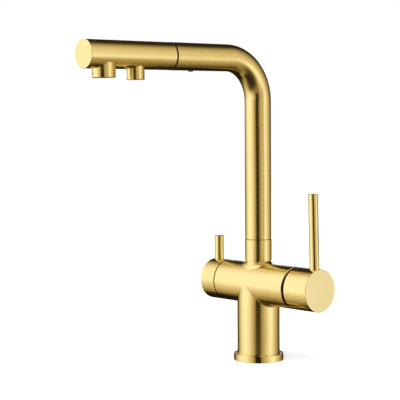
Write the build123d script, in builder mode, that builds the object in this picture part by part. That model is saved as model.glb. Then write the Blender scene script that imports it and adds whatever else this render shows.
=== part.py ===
"""Three way filtered water tap.

A column carries a cross tube with two controls: a mixing lever for hot and cold water on the right and a
quarter-turn lever for filtered water on the left. An L-shaped spout turns on the body's neck, and its
spray head pulls out on a double hose, with one outlet for mixed water and one for filtered water.

Frame: the origin is the centre of the base on the worktop, +Z is up, the spout points along -Y, and the
mixer is on the +X side. Lengths are in millimetres.
"""

import math
import os

from build123d import *

# Body: a column on the worktop, crossed by a tube that holds the two valves
column_radius = 22.8
cross_radius = 22.2
cross_height = 82.5
cross_right = 57.0
cross_left = -46.9
end_chamfer = 1.0
taper_start = 58.0
crease_fillet = 2.0
column_bore_radius = 18.8
column_ceiling = 62.0
shank_thread_radius = 18.2
shank_thread_length = 14.0
hose_passage = 7.5

# Neck on top of the body, in which the spout turns
neck_radius = 13.6
neck_fillet = 8.0
neck_stub_radius = 12.9
neck_top = 124.0
neck_bore_bottom = 94.0
collar_radius = 14.4
collar_bottom = 107.5
collar_shoulder = 126.2
collar_top = 130.2
swivel_limit = 70.0
stop_height = 99.0
stop_pin_radius = 1.6
stop_thread_radius = 2.5
stop_head_at = 14.4

# Base flange and its gasket
flange_radius = 26.8
flange_height = 7.0
flange_chamfer = 0.25
foot_radius = 21.8
foot_gap = 0.5
gasket_inner, gasket_outer, gasket_depth = 23.2, 25.4, 2.0

# Spout: riser, bend and a top run that falls slightly towards the tip
riser_radius = 14.1
tube_wall = 1.2
bend_radius = 44.5
spout_height = 323.7
spout_fall = 1.0
seam_gap = 0.6
run_end = 121.6

# Spigot that carries the spout and turns in the neck
spigot_radius = 10.9
spigot_fit = 0.08
spigot_bottom, spigot_top = 96.0, 150.0
spigot_bore = 8.0
spigot_flange_radius = 12.6
spigot_flange_bottom, spigot_flange_top = 124.2, 126.0
spigot_shoulder = 11.5
o_ring_heights = (106.0, 112.0)
o_ring_groove_width = 2.0
o_ring_groove_depth = 1.3
o_ring_section = 0.64

# Docking sleeve in the end of the top run, and its screw; both measured along the run
sleeve_start = 88.0
sleeve_bore = 10.0
ring_radius = 14.0
ring_thickness = 1.9
dock_screw_at = 94.9
dock_screw_radius = 2.5
dock_screw_tip = 1.6
dock_screw_proud = 0.9
dock_seat = 11.2

# Spray head, measured along the top run from the point above the column
head_radius = 13.9
head_wall = 1.4
head_start = 123.7
head_end = 227.6
head_front_wall = 3.0
mixed_outlet_at = 204.3
mixed_outlet_radius = 11.45
mixed_outlet_bore = 9.5
mixed_outlet_drop = 22.3
mixed_ring_height = 3.8
mixed_ring_bore = 8.4
filtered_outlet_at = 165.8
filtered_outlet_radius = 8.7
filtered_outlet_bore = 7.0
filtered_outlet_drop = 24.0
grid_rim = 0.5
waterway_start = 150.2
mixed_way_above = 7.6
mixed_way_radius = 3.4
nose_start, nose_end = 102.0, 150.0
nose_fit = 0.08
nose_bore = 7.6
nose_groove_at = 108.0
check_valve_start = 138.0
fitting_start = 126.2

# Double hose: filtered water inside, mixed water round it
hose_radius, hose_bore = 6.5, 4.8
inner_tube_radius, inner_tube_bore = 2.5, 1.6
hose_bottom = 16.0
hose_split = 130.4
bend_end = 47.0
hose_end = 126.0
inner_tube_end = 156.0

# Mixer cartridge, measured along the cross tube from the column's axis
chamber_radius = 18.0
chamber_floor = 19.0
housing_start, housing_end = 19.6, 54.0
housing_radius = 17.6
housing_neck_radius = 14.4
cavity_start, cavity_end = 27.2, 46.2
cavity_radius = 15.0
port_radius = 3.0
seal_outer, seal_inner = 4.3, 3.25
disc_face = 31.2
disc_gap = 0.05
moving_disc_radius = 11.2
moving_disc_end = 35.2
driver_end = 41.6
ball_at, ball_radius = 39.0, 2.5
ball_socket_start, ball_socket_end = 36.2, 40.2
driver_throat = 4.4
rotor_flange_start, rotor_flange_end = 43.2, 46.0
rotor_radius = 11.0
rotor_fit = 0.08
rotor_end = 58.0
rotor_slot_height = 16.8
pivot_at = 48.0
pivot_pin_radius = 1.5
stem_width = 8.0
stem_start, stem_end = 44.4, 80.2
stem_shank_radius = 1.9
nut_seat = 47.6
nut_thread_radius = 19.2
nut_bore = 14.6
nut_end = 60.0

# Mixer knob and lever
knob_radius = 22.2
mixer_knob_start = 60.0
mixer_knob_end = 91.0
mixer_knob_rim_end = 62.0
mixer_knob_floor = 69.0
mixer_hub_radius = 10.0
mixer_screw_at = 73.5
mixer_screw_radius = 2.5
mixer_lever_at = 83.6
mixer_lever_lean = 1.5
mixer_lever_length = 77.0
lever_radius = 5.0
lever_stud_radius = 3.0
lever_stud_end = 9.5
mark_at = 63.8
mark_angle = 20.5
mark_radius = 0.9
mark_depth = 0.6

# Filter valve and its knob, measured the same way towards the left
filter_thread_radius = 9.5
filter_recess_radius = 17.5
filter_recess_depth = 4.5
filter_floor = -22.0
filter_gallery_radius = 10.0
filter_gallery_start = -30.0
filter_seal_end = -24.0
filter_disc_face = -25.8
filter_disc_end = -28.6
filter_cavity_start = -29.0
filter_cavity_radius = 7.2
filter_barrel_radius = 8.2
filter_way_radius = 1.9
filter_way_at = 3.6
filter_neck_end = -50.0
filter_neck_radius = 7.5
spindle_radius = 4.0
spindle_fit = 0.06
spindle_end = -57.5
spindle_groove_at = -37.0
circlip_at = -51.2
filter_knob_start = -47.8
filter_knob_end = -69.7
filter_knob_floor = -57.8
filter_hub_start = -52.5
filter_hub_radius = 9.0
filter_lever_at = -62.8
filter_lever_length = 26.0
filter_screw_at = -55.1
filter_screw_radius = 1.5

# Threaded ports in the column's ceiling, each (x, y)
hot_port = (8.6, 10.6)
cold_port = (8.6, -10.6)
mixed_port = (13.6, 0.0)
filtered_in_port = (-12.5, 0.0)
filtered_out_port = (-8.0, 11.5)
supply_thread_radius = 4.5
supply_way_radius = 3.2
small_thread_radius = 3.5
small_way_radius = 2.5
port_depth = 9.0

# Where the ways meet the cartridge, as (y, height over the cross tube's axis)
supply_way_y = 9.0
mixed_way_z = -8.0
cartridge_ports = ((supply_way_y, 0.0), (-supply_way_y, 0.0), (0.0, mixed_way_z))

fall = math.radians(spout_fall)
column_axis = Plane.XY
cross_axis = Plane(origin=(0, 0, cross_height), x_dir=(0, 1, 0), z_dir=(1, 0, 0))
run_axis = Plane(
    origin=(0, 0, spout_height),
    x_dir=(1, 0, 0),
    z_dir=(0, -math.cos(fall), -math.sin(fall)),
)

os.makedirs("parts", exist_ok=True)


def bar(plane, start, end, radius, mode=Mode.ADD):
    """A round bar along a plane's normal, between two distances from the plane."""
    with BuildSketch(plane.offset(start)) as outline:
        Circle(radius)
    extrude(outline.sketch, amount=end - start, mode=mode)


def bore(plane, start, end, radius):
    """A round hole along a plane's normal, between two distances from the plane."""
    bar(plane, start, end, radius, mode=Mode.SUBTRACT)


def tube(plane, start, end, outer, inner):
    """A round tube along a plane's normal."""
    bar(plane, start, end, outer)
    bore(plane, start, end, inner)


def ring_groove(plane, start, end, outer, inner):
    """A groove round a plane's normal, cut between two radii."""
    with BuildSketch(plane.offset(start)) as outline:
        Circle(outer)
        Circle(inner, mode=Mode.SUBTRACT)
    extrude(outline.sketch, amount=end - start, mode=Mode.SUBTRACT)


def block(plane, start, end, width, height, mode=Mode.ADD):
    """A rectangular bar along a plane's normal, centred on it."""
    with BuildSketch(plane.offset(start)) as outline:
        Rectangle(width, height)
    extrude(outline.sketch, amount=end - start, mode=mode)


def ports(plane, start, end, spots, radius):
    """Round holes along a plane's normal, side by side."""
    with BuildSketch(plane.offset(start)) as outline:
        with Locations(*spots):
            Circle(radius)
    extrude(outline.sketch, amount=end - start, mode=Mode.SUBTRACT)


def hex_socket(plane, at, depth, radius):
    """A socket for a hexagon key, from a place on a plane's normal."""
    with BuildSketch(plane.offset(at)) as outline:
        RegularPolygon(radius=radius, side_count=6)
    extrude(outline.sketch, amount=depth, mode=Mode.SUBTRACT)


def grid_insert(plane, start, end, radius, pitch, hole_radius):
    """A round insert along a plane's normal, with a staggered field of water holes."""
    rows = int(radius / pitch) + 1
    spots = []
    for row in range(-rows, rows + 1):
        for column in range(-rows, rows + 1):
            spot = Vector((column + 0.5 * (row % 2)) * pitch, row * pitch * math.sqrt(0.75))
            if spot.length + hole_radius + grid_rim < radius:
                spots.append(spot)
    bar(plane, start, end, radius)
    ports(plane, start, end, spots, hole_radius)


def below_run(at):
    """A plane on the top run's axis whose normal points down out of the spout."""
    return Plane(
        origin=run_axis.from_local_coords(Vector(0, 0, at)),
        x_dir=(1, 0, 0),
        z_dir=-run_axis.y_dir,
    )


def upright(x, y=0.0, lean=0.0):
    """A plane at the cross tube's height whose normal points up, leaning towards -X by some degrees."""
    tilt = math.radians(lean)
    return Plane(
        origin=(x, y, cross_height),
        x_dir=(math.cos(tilt), 0, math.sin(tilt)),
        z_dir=(-math.sin(tilt), 0, math.cos(tilt)),
    )


def rims(builder, axis):
    """The circular edges of a sub-part, from the lowest to the highest along an axis."""
    return builder.edges().filter_by(GeomType.CIRCLE).sort_by(axis)


def lower_rim(builder):
    """The largest circular edge of a sub-part's underside."""
    return builder.edges().filter_by(GeomType.CIRCLE).group_by(Axis.Z)[0].sort_by(SortBy.RADIUS)[-1]


def finish(builder, name):
    """Labels a finished sub-part and writes it."""
    builder.part.label = name
    export_step(builder.part, f"parts/{name}.step")


# ---------------------------------------------------------------- body and base

with BuildPart() as body_casting:
    # The column narrows by a hair towards the cross tube, so that their creases fade out in front
    with BuildSketch(Plane.XZ) as column_profile:
        Polygon(
            (0, flange_height),
            (column_radius, flange_height),
            (column_radius, taper_start),
            (cross_radius, cross_height),
            (0, cross_height),
            align=None,
        )
    revolve(column_profile.sketch, axis=Axis.Z)
    bar(cross_axis, cross_left, cross_right, cross_radius)
    fillet(body_casting.edges().filter_by(GeomType.BSPLINE), radius=crease_fillet)
    lower_half = body_casting.edges()
    bar(column_axis, cross_height, collar_bottom, neck_radius)
    saddle = body_casting.edges() - lower_half
    saddle = saddle.filter_by(GeomType.CIRCLE, reverse=True).filter_by(GeomType.LINE, reverse=True)
    fillet(saddle, radius=neck_fillet)
    chamfer(rims(body_casting, Axis.X)[-1], length=end_chamfer)
    bar(column_axis, foot_gap, flange_height, foot_radius)
    bar(column_axis, collar_bottom, neck_top, neck_stub_radius)
    # Column bore, open below, with the thread for the shank at its mouth
    bore(column_axis, foot_gap, foot_gap + shank_thread_length, shank_thread_radius)
    bore(column_axis, foot_gap + shank_thread_length, column_ceiling, column_bore_radius)
    # Way for the pull-out hose, and the bore that the spout's spigot turns in
    bore(column_axis, column_ceiling, neck_bore_bottom, hose_passage)
    bore(column_axis, neck_bore_bottom, neck_top, spigot_radius + spigot_fit)
    # Cartridge chamber and its thread
    bore(cross_axis, chamber_floor, cross_right, chamber_radius)
    bore(cross_axis, nut_seat, cross_right, nut_thread_radius)
    # Hot and cold: threaded port, riser, and a hole through the chamber's floor
    for (port_x, port_y), way_y in ((hot_port, supply_way_y), (cold_port, -supply_way_y)):
        port = Plane(origin=(port_x, port_y, 0))
        bore(port, column_ceiling, column_ceiling + port_depth, supply_thread_radius)
        bore(port, column_ceiling + port_depth, cross_height + supply_way_radius, supply_way_radius)
        way = Plane(origin=(0, way_y, cross_height), x_dir=(0, 1, 0), z_dir=(1, 0, 0))
        bore(way, port_x, chamber_floor, supply_way_radius)
    # Mixed water: from the chamber's floor down to its port
    mixed_way_height = cross_height + mixed_way_z
    port = Plane(origin=(mixed_port[0], mixed_port[1], 0))
    bore(port, column_ceiling, column_ceiling + port_depth, small_thread_radius)
    bore(port, column_ceiling + port_depth, mixed_way_height + supply_way_radius, small_way_radius)
    way = Plane(origin=(0, 0, mixed_way_height), x_dir=(0, 1, 0), z_dir=(1, 0, 0))
    bore(way, mixed_port[0], chamber_floor, supply_way_radius)
    # Filter valve: recess, thread, gallery and inlet
    bore(cross_axis, cross_left, cross_left + filter_recess_depth, filter_recess_radius)
    ring_groove(cross_axis, cross_left, cross_left + 14.0, filter_recess_radius, 13.5)
    bore(cross_axis, cross_left, filter_gallery_start, filter_thread_radius)
    bore(cross_axis, filter_gallery_start, filter_floor, filter_gallery_radius)
    bore(cross_axis, filter_floor, filtered_in_port[0], small_way_radius)
    port = Plane(origin=(filtered_in_port[0], filtered_in_port[1], 0))
    bore(port, column_ceiling, column_ceiling + port_depth, small_thread_radius)
    bore(port, column_ceiling + port_depth, cross_height + small_way_radius, small_way_radius)
    # Filtered water out: from the gallery, aslant, down to its port
    slant_height = cross_height - 4.0
    slant_start = Vector(filtered_out_port[0], filtered_out_port[1], slant_height)
    slant_end = Vector(-26.0, 7.0, slant_height)
    port = Plane(origin=(filtered_out_port[0], filtered_out_port[1], 0))
    bore(port, column_ceiling, column_ceiling + port_depth, small_thread_radius)
    bore(port, column_ceiling + port_depth, slant_height + small_way_radius, small_way_radius)
    slant = Plane(origin=slant_start, z_dir=slant_end - slant_start)
    bore(slant, 0, (slant_end - slant_start).length, small_way_radius)
    # Threaded hole at the back for the swivel's stop screw
    back = Plane(origin=(0, 0, stop_height), x_dir=(1, 0, 0), z_dir=(0, 1, 0))
    bore(back, spigot_radius, cross_radius, stop_thread_radius)
finish(body_casting, "body_casting")

with BuildPart() as base_flange:
    tube(column_axis, 0, flange_height, flange_radius, foot_radius + 0.1)
    chamfer(lower_rim(base_flange), length=flange_chamfer)
    ring_groove(column_axis, 0, gasket_depth, gasket_outer, gasket_inner)
finish(base_flange, "base_flange")

with BuildPart() as base_gasket:
    tube(column_axis, 0, gasket_depth - 0.1, gasket_outer - 0.1, gasket_inner + 0.1)
finish(base_gasket, "base_gasket")

with BuildPart() as spout_collar:
    bar(column_axis, collar_bottom, collar_top, collar_radius)
    bore(column_axis, collar_bottom, collar_shoulder, neck_stub_radius + 0.05)
    bore(column_axis, collar_shoulder, collar_top, spigot_shoulder + 0.1)
    chamfer(lower_rim(spout_collar), length=0.3)
finish(spout_collar, "spout_collar")

with BuildPart() as spout_stop_screw:
    bar(back, spigot_radius + 0.2, stop_head_at, stop_thread_radius)
    bar(back, spigot_radius - 1.0, spigot_radius + 0.2, stop_pin_radius)
    hex_socket(back, stop_head_at, -2.0, 1.5)
finish(spout_stop_screw, "spout_stop_screw")

# ---------------------------------------------------------------- spout

riser_bottom = collar_top + seam_gap
with BuildPart() as spout_spigot:
    bar(column_axis, spigot_bottom, spigot_flange_bottom, spigot_radius)
    bar(column_axis, spigot_flange_bottom, spigot_flange_top, spigot_flange_radius)
    bar(column_axis, spigot_flange_top, riser_bottom, spigot_shoulder)
    bar(column_axis, riser_bottom, spigot_top, riser_radius - tube_wall)
    groove_bottom = spigot_radius - o_ring_groove_depth
    for height in o_ring_heights:
        half_width = o_ring_groove_width / 2
        ring_groove(column_axis, height - half_width, height + half_width, spigot_radius, groove_bottom)
    bore(column_axis, spigot_bottom, spigot_top, spigot_bore)
    # Groove at the back in which the stop screw runs, closed at both ends of the swivel
    half_slot = swivel_limit + math.degrees(math.asin(stop_pin_radius / groove_bottom)) + 1.0
    slot_height = stop_pin_radius + 0.2
    with BuildSketch(column_axis.offset(stop_height - slot_height)) as stop_slot:
        with BuildLine():
            CenterArc((0, 0), spigot_radius + 1.0, 90 - half_slot, 2 * half_slot)
            CenterArc((0, 0), groove_bottom, 90 - half_slot, 2 * half_slot)
            for end in (90 - half_slot, 90 + half_slot):
                direction = Vector(math.cos(math.radians(end)), math.sin(math.radians(end)))
                Line(direction * groove_bottom, direction * (spigot_radius + 1.0))
        make_face()
    extrude(stop_slot.sketch, amount=2 * slot_height, mode=Mode.SUBTRACT)
finish(spout_spigot, "spout_spigot")

with BuildPart() as spout_o_rings:
    for height in o_ring_heights:
        with Locations((0, 0, height)):
            Torus(spigot_radius - o_ring_section + 0.04, o_ring_section)
finish(spout_o_rings, "spout_o_rings")

with BuildPart() as spout_slip_ring:
    tube(column_axis, collar_top + 0.05, riser_bottom, riser_radius - 0.5, spigot_shoulder + 0.05)
finish(spout_slip_ring, "spout_slip_ring")

run_end_point = run_axis.from_local_coords(Vector(0, 0, run_end))
with BuildPart() as spout_tube:
    with BuildLine():
        FilletPolyline((0, 0, riser_bottom), (0, 0, spout_height), run_end_point, radius=bend_radius)
    with BuildSketch(column_axis.offset(riser_bottom)):
        Circle(riser_radius)
        Circle(riser_radius - tube_wall, mode=Mode.SUBTRACT)
    sweep()
    bore(below_run(dock_screw_at), 0, riser_radius + 1, dock_screw_radius)
finish(spout_tube, "spout_tube")

ring_end = run_end + ring_thickness
with BuildPart() as docking_sleeve:
    bar(run_axis, sleeve_start, run_end, riser_radius - tube_wall - 0.05)
    bar(run_axis, run_end, ring_end, ring_radius)
    bore(run_axis, sleeve_start, ring_end, sleeve_bore)
    bore(below_run(dock_screw_at), 0, riser_radius, dock_screw_tip)
    bore(below_run(dock_screw_at), dock_seat, riser_radius, dock_screw_radius)
finish(docking_sleeve, "docking_sleeve")

with BuildPart() as docking_screw:
    screw_line = below_run(dock_screw_at)
    bar(screw_line, dock_seat - 1.0, dock_seat, dock_screw_tip)
    bar(screw_line, dock_seat, riser_radius + dock_screw_proud, dock_screw_radius - 0.05)
    hex_socket(screw_line, riser_radius + dock_screw_proud, -1.8, 1.4)
finish(docking_screw, "docking_screw")

# ---------------------------------------------------------------- spray head

head_inner = head_radius - head_wall
front_outlet = below_run(mixed_outlet_at)
rear_outlet = below_run(filtered_outlet_at)

with BuildPart() as head_shell:
    bar(run_axis, head_start, head_end, head_radius)
    bore(run_axis, head_start, head_end - head_front_wall, head_inner)
    chamfer(rims(head_shell, Axis.Y)[0], length=0.25)
    bore(front_outlet, 0, head_radius, mixed_outlet_bore)
    bore(rear_outlet, 0, head_radius, filtered_outlet_bore)
finish(head_shell, "head_shell")

ring_top = mixed_outlet_drop - mixed_ring_height
with BuildPart() as mixed_outlet_barrel:
    tube(front_outlet, 0, ring_top, mixed_outlet_radius, mixed_outlet_bore)
    bore(run_axis, head_start, head_end, head_radius)
finish(mixed_outlet_barrel, "mixed_outlet_barrel")

with BuildPart() as filtered_outlet_barrel:
    tube(rear_outlet, 0, filtered_outlet_drop, filtered_outlet_radius, filtered_outlet_bore)
    bore(run_axis, head_start, head_end, head_radius)
    mouth = rims(filtered_outlet_barrel, Axis.Z)[0:2]
    chamfer(mouth.sort_by(SortBy.RADIUS)[-1], length=0.3)
finish(filtered_outlet_barrel, "filtered_outlet_barrel")

with BuildPart() as mixed_aerator_ring:
    bar(front_outlet, ring_top + 0.2, mixed_outlet_drop, mixed_outlet_radius)
    bar(front_outlet, head_inner + 0.6, ring_top + 0.2, mixed_outlet_bore - 0.1)
    bore(front_outlet, head_inner + 0.6, mixed_outlet_drop, mixed_ring_bore)
    chamfer(rims(mixed_aerator_ring, Axis.Z)[0:2], length=0.3)
finish(mixed_aerator_ring, "mixed_aerator_ring")

with BuildPart() as mixed_aerator_grid:
    grid_end = mixed_outlet_drop - 1.2
    grid_insert(front_outlet, grid_end - 1.8, grid_end, mixed_ring_bore - 0.1, 2.6, 0.9)
finish(mixed_aerator_grid, "mixed_aerator_grid")

with BuildPart() as filtered_water_insert:
    tube(rear_outlet, head_inner + 0.6, filtered_outlet_drop - 1.0, filtered_outlet_bore - 0.05, 5.4)
    grid_insert(rear_outlet, filtered_outlet_drop - 3.6, filtered_outlet_drop - 2.0, 5.5, 2.4, 0.8)
finish(filtered_water_insert, "filtered_water_insert")

core_radius = head_inner - 0.05
with BuildPart() as head_waterway:
    bar(run_axis, waterway_start, head_end - head_front_wall - 0.2, core_radius)
    # Filtered water: in at the centre, down at the rear outlet
    bore(run_axis, waterway_start, filtered_outlet_at, inner_tube_radius + 0.05)
    bore(rear_outlet, 0, head_inner, mixed_way_radius)
    # Mixed water: in above the centre, over the filtered way, down at the front outlet
    over = run_axis.offset(waterway_start)
    over.origin = over.origin + run_axis.y_dir * mixed_way_above
    bore(over, 0, mixed_outlet_at - waterway_start, mixed_way_radius)
    bore(front_outlet, -mixed_way_above, head_inner, 5.0)
finish(head_waterway, "head_waterway")

nose_radius = sleeve_bore - nose_fit
with BuildPart() as docking_nose:
    bar(run_axis, head_start + 0.3, nose_end, core_radius)
    bar(run_axis, nose_start, head_start + 0.3, nose_radius)
    bore(run_axis, nose_start, nose_end, nose_bore)
    ring_groove(run_axis, nose_groove_at, nose_groove_at + 1.8, nose_radius, nose_radius - 1.1)
    tip = rims(docking_nose, Axis.Y)[-2:]
    chamfer(tip.sort_by(SortBy.RADIUS)[-1], length=1.2)
finish(docking_nose, "docking_nose")

with BuildPart() as nose_o_ring:
    tube(run_axis, nose_groove_at + 0.2, nose_groove_at + 1.6, sleeve_bore - 0.05, nose_radius - 1.05)
    fillet(rims(nose_o_ring, Axis.Y), radius=0.4)
finish(nose_o_ring, "nose_o_ring")

with BuildPart() as check_valve:
    tube(run_axis, check_valve_start, waterway_start - 0.4, nose_bore - 0.05, inner_tube_radius + 0.05)
    with BuildSketch(run_axis.offset(check_valve_start)) as ways:
        with PolarLocations(5.0, 6):
            Circle(1.5)
    extrude(ways.sketch, amount=waterway_start - check_valve_start, mode=Mode.SUBTRACT)
finish(check_valve, "check_valve")

with BuildPart() as hose_fitting:
    bar(run_axis, fitting_start, check_valve_start - 0.2, nose_bore - 0.05)
    bar(run_axis, fitting_start - 10.0, fitting_start, hose_bore)
    bore(run_axis, fitting_start - 10.0, check_valve_start, hose_bore - 0.6)
finish(hose_fitting, "hose_fitting")

with BuildPart() as hose_ferrule:
    tube(run_axis, hose_end - 14.0, hose_end, nose_bore - 0.2, hose_radius)
finish(hose_ferrule, "hose_ferrule")

# ---------------------------------------------------------------- double hose

for part_name, outer, inner, far_end in (
    ("hose", hose_radius, hose_bore, hose_end),
    ("filtered_tube", inner_tube_radius, inner_tube_bore, inner_tube_end),
):
    with BuildPart() as in_column:
        tube(column_axis, hose_bottom, hose_split - 0.2, outer, inner)
    finish(in_column, f"{part_name}_in_column")

    with BuildPart() as in_spout:
        with BuildLine():
            route_start = (0, 0, hose_split + 0.2)
            route_end = run_axis.from_local_coords(Vector(0, 0, bend_end))
            FilletPolyline(route_start, (0, 0, spout_height), route_end, radius=bend_radius)
        with BuildSketch(column_axis.offset(hose_split + 0.2)):
            Circle(outer)
            Circle(inner, mode=Mode.SUBTRACT)
        sweep()
    finish(in_spout, f"{part_name}_in_spout")

    with BuildPart() as pulled_out:
        tube(run_axis, bend_end + 0.4, far_end, outer, inner)
    finish(pulled_out, f"{part_name}_pulled_out")

# ---------------------------------------------------------------- mixer

with BuildPart() as cartridge_housing:
    bar(cross_axis, housing_start, nut_seat, housing_radius)
    bar(cross_axis, nut_seat, housing_end, housing_neck_radius)
    bore(cross_axis, cavity_start, cavity_end, cavity_radius)
    bore(cross_axis, cavity_end, housing_end, rotor_radius + rotor_fit)
    ports(cross_axis, housing_start, cavity_start, cartridge_ports, port_radius)
finish(cartridge_housing, "cartridge_housing")

with BuildPart() as cartridge_seals:
    with BuildSketch(cross_axis.offset(chamber_floor)) as seals:
        with Locations(*cartridge_ports):
            Circle(seal_outer)
        with Locations(*cartridge_ports):
            Circle(seal_inner, mode=Mode.SUBTRACT)
    extrude(seals.sketch, amount=housing_start - chamber_floor)
finish(cartridge_seals, "cartridge_seals")

with BuildPart() as ceramic_fixed_disc:
    bar(cross_axis, cavity_start, disc_face, cavity_radius - 0.1)
    ports(cross_axis, cavity_start, disc_face, cartridge_ports, port_radius - 0.2)
finish(ceramic_fixed_disc, "ceramic_fixed_disc")

with BuildPart() as ceramic_moving_disc:
    bar(cross_axis, disc_face + disc_gap, moving_disc_end, moving_disc_radius)
    # Hollow in its face, which joins the inlets to the outlet when the disc is moved up
    with BuildSketch(cross_axis.offset(disc_face + disc_gap)) as hollow:
        with Locations((0, -4.5)):
            SlotOverall(13.0, 5.6)
    extrude(hollow.sketch, amount=1.8, mode=Mode.SUBTRACT)
finish(ceramic_moving_disc, "ceramic_moving_disc")

with BuildPart() as disc_driver:
    bar(cross_axis, moving_disc_end, driver_end, moving_disc_radius)
    bore(cross_axis, ball_socket_start, ball_socket_end, ball_radius + 0.1)
    bore(cross_axis, ball_socket_end, driver_end, driver_throat)
finish(disc_driver, "disc_driver")

pin_line = Plane(origin=(pivot_at, 0, cross_height), x_dir=(1, 0, 0), z_dir=(0, -1, 0))
with BuildPart() as cartridge_rotor:
    bar(cross_axis, rotor_flange_start, rotor_flange_end, cavity_radius - 0.3)
    bar(cross_axis, rotor_flange_end, rotor_end, rotor_radius)
    block(cross_axis, rotor_flange_start, rotor_end, stem_width + 0.3, rotor_slot_height, mode=Mode.SUBTRACT)
    bore(pin_line, -rotor_radius, rotor_radius, pivot_pin_radius)
finish(cartridge_rotor, "cartridge_rotor")

with BuildPart() as cartridge_pivot_pin:
    bar(pin_line, 0.4 - rotor_radius, rotor_radius - 0.4, pivot_pin_radius)
finish(cartridge_pivot_pin, "cartridge_pivot_pin")

with BuildPart() as cartridge_stem:
    block(cross_axis, stem_start, stem_end, stem_width, stem_width)
    bar(cross_axis, ball_at, stem_start, stem_shank_radius)
    with Locations((ball_at, 0, cross_height)):
        Sphere(ball_radius)
    bore(pin_line, -stem_width, stem_width, pivot_pin_radius + 0.06)
finish(cartridge_stem, "cartridge_stem")

with BuildPart() as cartridge_nut:
    bar(cross_axis, nut_seat + 0.1, cross_right, nut_thread_radius - 0.05)
    with BuildSketch(cross_axis.offset(cross_right)) as hexagon:
        RegularPolygon(radius=16.2, side_count=6)
        Circle(15.6, mode=Mode.INTERSECT)
    extrude(hexagon.sketch, amount=nut_end - cross_right)
    bore(cross_axis, nut_seat, nut_end, nut_bore)
finish(cartridge_nut, "cartridge_nut")


def mark_line(side):
    """A plane whose normal passes through a temperature mark: +1 is on the spout's side, -1 behind."""
    angle = math.radians(side * mark_angle)
    return Plane(
        origin=(mark_at, 0, cross_height),
        x_dir=(1, 0, 0),
        z_dir=(0, -math.sin(angle), math.cos(angle)),
    )


mixer_lever_line = upright(mixer_lever_at, lean=mixer_lever_lean)
with BuildPart() as mixer_knob:
    bar(cross_axis, mixer_knob_start, mixer_knob_end, knob_radius)
    chamfer(rims(mixer_knob, Axis.X)[-1], length=0.25)
    bore(cross_axis, mixer_knob_start, mixer_knob_rim_end, knob_radius - 1.0)
    bore(cross_axis, mixer_knob_rim_end, mixer_knob_floor, knob_radius - 2.0)
    ring_groove(cross_axis, mixer_knob_floor, mixer_knob_floor + 9.0, knob_radius - 2.6, mixer_hub_radius)
    socket_width = stem_width + 0.1
    block(cross_axis, mixer_knob_floor, stem_end + 0.3, socket_width, socket_width, mode=Mode.SUBTRACT)
    bore(mixer_lever_line, lever_stud_end - 0.5, knob_radius + 1.0, lever_stud_radius)
    bore(upright(mixer_screw_at), -knob_radius, -stem_width / 2, mixer_screw_radius)
    for side in (1, -1):
        bore(mark_line(side), knob_radius - mark_depth, knob_radius, mark_radius)
finish(mixer_knob, "mixer_knob")

for colour, side in (("red", 1), ("blue", -1)):
    with BuildPart() as mark:
        bar(mark_line(side), knob_radius - mark_depth, knob_radius - 0.02, mark_radius)
    finish(mark, f"{colour}_mark")


def lever(line, length, knob_start, knob_end):
    """A straight lever that stands on a knob's round side, with a stud pressed into the knob."""
    bar(line, knob_radius - 1.0, knob_radius + length, lever_radius)
    bore(cross_axis, knob_start, knob_end, knob_radius)
    bar(line, lever_stud_end, knob_radius + 1.0, lever_stud_radius - 0.02)


with BuildPart() as mixer_lever:
    lever(mixer_lever_line, mixer_lever_length, mixer_knob_start, mixer_knob_end)
    chamfer(rims(mixer_lever, Axis.Z)[-1], length=0.4)
finish(mixer_lever, "mixer_lever")

with BuildPart() as mixer_set_screw:
    bar(upright(mixer_screw_at), -10.5, -stem_width / 2 - 0.05, mixer_screw_radius - 0.02)
    hex_socket(upright(mixer_screw_at), -10.5, 2.5, 1.45)
finish(mixer_set_screw, "mixer_set_screw")

# ---------------------------------------------------------------- filter valve

flange_start = cross_left + 0.5
flange_end = cross_left + filter_recess_depth
with BuildPart() as filter_valve_housing:
    bar(cross_axis, flange_end, filter_gallery_start, filter_thread_radius - 0.03)
    bar(cross_axis, filter_gallery_start, filter_seal_end, filter_barrel_radius)
    with BuildSketch(cross_axis.offset(flange_start)) as hexagon:
        RegularPolygon(radius=13.2, side_count=6)
        Circle(12.4, mode=Mode.INTERSECT)
    extrude(hexagon.sketch, amount=flange_end - flange_start)
    bar(cross_axis, filter_neck_end, flange_start, filter_neck_radius)
    bore(cross_axis, filter_neck_end, filter_seal_end, spindle_radius + spindle_fit)
    bore(cross_axis, filter_cavity_start, filter_seal_end, filter_cavity_radius)
    # Windows above and below, where filtered water leaves for the gallery
    block(upright(-26.8), -filter_thread_radius, filter_thread_radius, 2.6, 7.0, mode=Mode.SUBTRACT)
finish(filter_valve_housing, "filter_valve_housing")

with BuildPart() as filter_valve_seal:
    tube(cross_axis, filter_seal_end, filter_floor, filter_cavity_radius, 3.4)
finish(filter_valve_seal, "filter_valve_seal")

with BuildPart() as filter_fixed_disc:
    bar(cross_axis, filter_disc_face, filter_seal_end, filter_cavity_radius - 0.05)
    ways = ((0, filter_way_at), (0, -filter_way_at))
    ports(cross_axis, filter_disc_face, filter_seal_end, ways, filter_way_radius)
finish(filter_fixed_disc, "filter_fixed_disc")

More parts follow.
